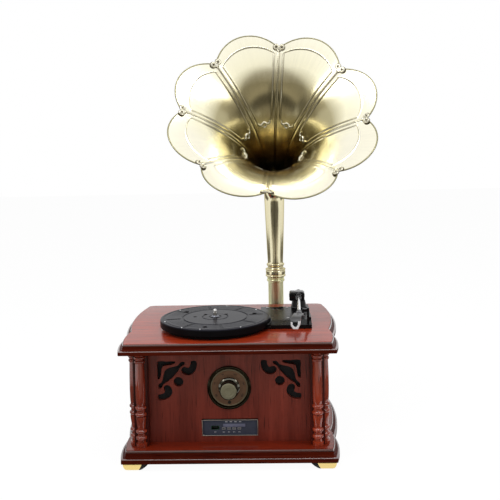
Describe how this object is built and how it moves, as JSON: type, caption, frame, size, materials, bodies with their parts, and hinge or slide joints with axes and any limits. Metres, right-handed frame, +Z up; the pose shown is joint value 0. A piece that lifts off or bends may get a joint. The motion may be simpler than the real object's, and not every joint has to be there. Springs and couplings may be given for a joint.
{
  "type": "record player",
  "caption": "Gramophone-style record player: wooden cabinet with radio dial and speakers, belt-drive turntable with tonearm, and a swivelling brass petal horn.",
  "frame": {"origin": "on the resting plane, under the middle of the whole object's box", "axes": "+Z up, +X to the right seen from the front, +Y from the dial side to the back"},
  "size_m": [0.477, 0.3612, 0.7638],
  "materials": {
    "mahogany": "glossy red-brown lacquer over straight grain",
    "dark_mahogany": "glossy dark red-brown lacquer",
    "antique_brass": "brushed antique brass under clear lacquer",
    "pale_brass": "polished, pale",
    "yellow_brass": "polished yellow brass",
    "bronze": "dark satin bronze",
    "black_plastic": "satin black",
    "platter_plastic": "semi-gloss dark grey",
    "grey_plastic": "satin grey",
    "white_plastic": "glossy white",
    "slate_plastic": "glossy dark slate",
    "grille_cloth": "woven black",
    "silver": "bright satin",
    "steel": "brushed",
    "rubber": "matt",
    "circuit": "green solder mask"
  },
  "bodies": {
    "cabinet": {"base_board": "mahogany", "top_board": "mahogany", "front_panel": "mahogany", "left_side_panel": "mahogany", "right_side_panel": "mahogany", "back_panel": "dark_mahogany", "corner_post_front_left": "dark_mahogany", "corner_post_front_right": "dark_mahogany", "corner_post_rear_left": "dark_mahogany", "corner_post_rear_right": "dark_mahogany", "front_column_left": "mahogany", "front_column_right": "mahogany", "side_column_front_left": "mahogany", "side_column_front_right": "mahogany", "side_column_rear_left": "mahogany", "side_column_rear_right": "mahogany", "foot_front_left": "yellow_brass", "foot_front_right": "yellow_brass", "foot_rear_left": "yellow_brass", "foot_rear_right": "yellow_brass", "grille_cloth": "grille_cloth", "left_speaker": "black_plastic", "right_speaker": "black_plastic", "dial_bezel": "bronze", "dial_face": "bronze", "control_panel": "slate_plastic", "main_board": "circuit", "deck_plate": "black_plastic", "spindle": "steel", "motor": "steel", "drive_belt": "rubber", "arm_base": "black_plastic", "arm_rest": "black_plastic", "horn_stem": "antique_brass", "stem_bracket": "antique_brass", "jack_plate": "black_plastic"},
    "platter_body": {"platter": "platter_plastic"},
    "pulley_body": {"motor_pulley": "black_plastic"},
    "yoke_body": {"arm_yoke": "black_plastic"},
    "arm_body": {"tonearm": "silver", "counterweight": "black_plastic", "headshell": "grey_plastic", "stylus_guard": "white_plastic"},
    "lever_body": {"cue_lever": "grey_plastic"},
    "switch_body": {"speed_switch": "black_plastic"},
    "knob_body": {"tuning_knob": "antique_brass"},
    "button_1_body": {"button_1": "grey_plastic"},
    "button_2_body": {"button_2": "grey_plastic"},
    "button_3_body": {"button_3": "grey_plastic"},
    "button_4_body": {"button_4": "grey_plastic"},
    "horn_body": {"horn_neck": "antique_brass", "horn_bell": "antique_brass", "rim_clip_1": "pale_brass", "rim_clip_2": "pale_brass", "rim_clip_3": "pale_brass", "rim_clip_4": "pale_brass", "rim_clip_5": "pale_brass", "rim_clip_6": "pale_brass", "rim_clip_7": "pale_brass", "rim_clip_8": "pale_brass"}
  },
  "joints": [
    {"name": "platter_spin", "type": "hinge", "parent": "cabinet", "child": "platter_body", "pos_m": [-0.06765, -0.0586, 0.229], "axis": [0, 0, 1], "continuous": true},
    {"name": "pulley_spin", "type": "hinge", "parent": "cabinet", "child": "pulley_body", "pos_m": [-0.14197, -0.02395, 0.226], "axis": [0, 0, 1], "continuous": true},
    {"name": "arm_swing", "type": "hinge", "parent": "cabinet", "child": "yoke_body", "pos_m": [0.08885, 0.0314, 0.245], "axis": [0, 0, -1], "range_deg": [-5.8, 42]},
    {"name": "arm_lift", "type": "hinge", "parent": "yoke_body", "child": "arm_body", "pos_m": [0.08885, 0.0314, 0.254], "axis": [-0.9994, 0.0349, 0], "range_deg": [0, 14]},
    {"name": "lift_lever", "type": "hinge", "parent": "cabinet", "child": "lever_body", "pos_m": [0.09935, 0.0104, 0.226], "axis": [-1, 0, 0], "range_deg": [0, 51]},
    {"name": "speed_slide", "type": "slide", "parent": "cabinet", "child": "switch_body", "axis": [-1, 0, 0], "range_m": [0, 0.016]},
    {"name": "tuning_turn", "type": "hinge", "parent": "cabinet", "child": "knob_body", "pos_m": [-0.04015, -0.15, 0.1283], "axis": [0, 1, 0], "range_deg": [-135, 135]},
    {"name": "button_1_press", "type": "slide", "parent": "cabinet", "child": "button_1_body", "axis": [0, 1, 0], "range_m": [0, 0.0012], "stiffness_N_per_m": 400},
    {"name": "button_2_press", "type": "slide", "parent": "cabinet", "child": "button_2_body", "axis": [0, 1, 0], "range_m": [0, 0.0012], "stiffness_N_per_m": 400},
    {"name": "button_3_press", "type": "slide", "parent": "cabinet", "child": "button_3_body", "axis": [0, 1, 0], "range_m": [0, 0.0012], "stiffness_N_per_m": 400},
    {"name": "button_4_press", "type": "slide", "parent": "cabinet", "child": "button_4_body", "axis": [0, 1, 0], "range_m": [0, 0.0012], "stiffness_N_per_m": 400},
    {"name": "horn_swivel", "type": "hinge", "parent": "cabinet", "child": "horn_body", "pos_m": [0.04585, 0.1594, 0.274], "axis": [0, 0, 1], "continuous": true}
  ],
  "couplings": [
    {"joint": "pulley_spin", "follows": "platter_spin", "ratio": 16},
    {"joint": "lift_lever", "follows": "arm_lift", "ratio": 3.5714}
  ]
}
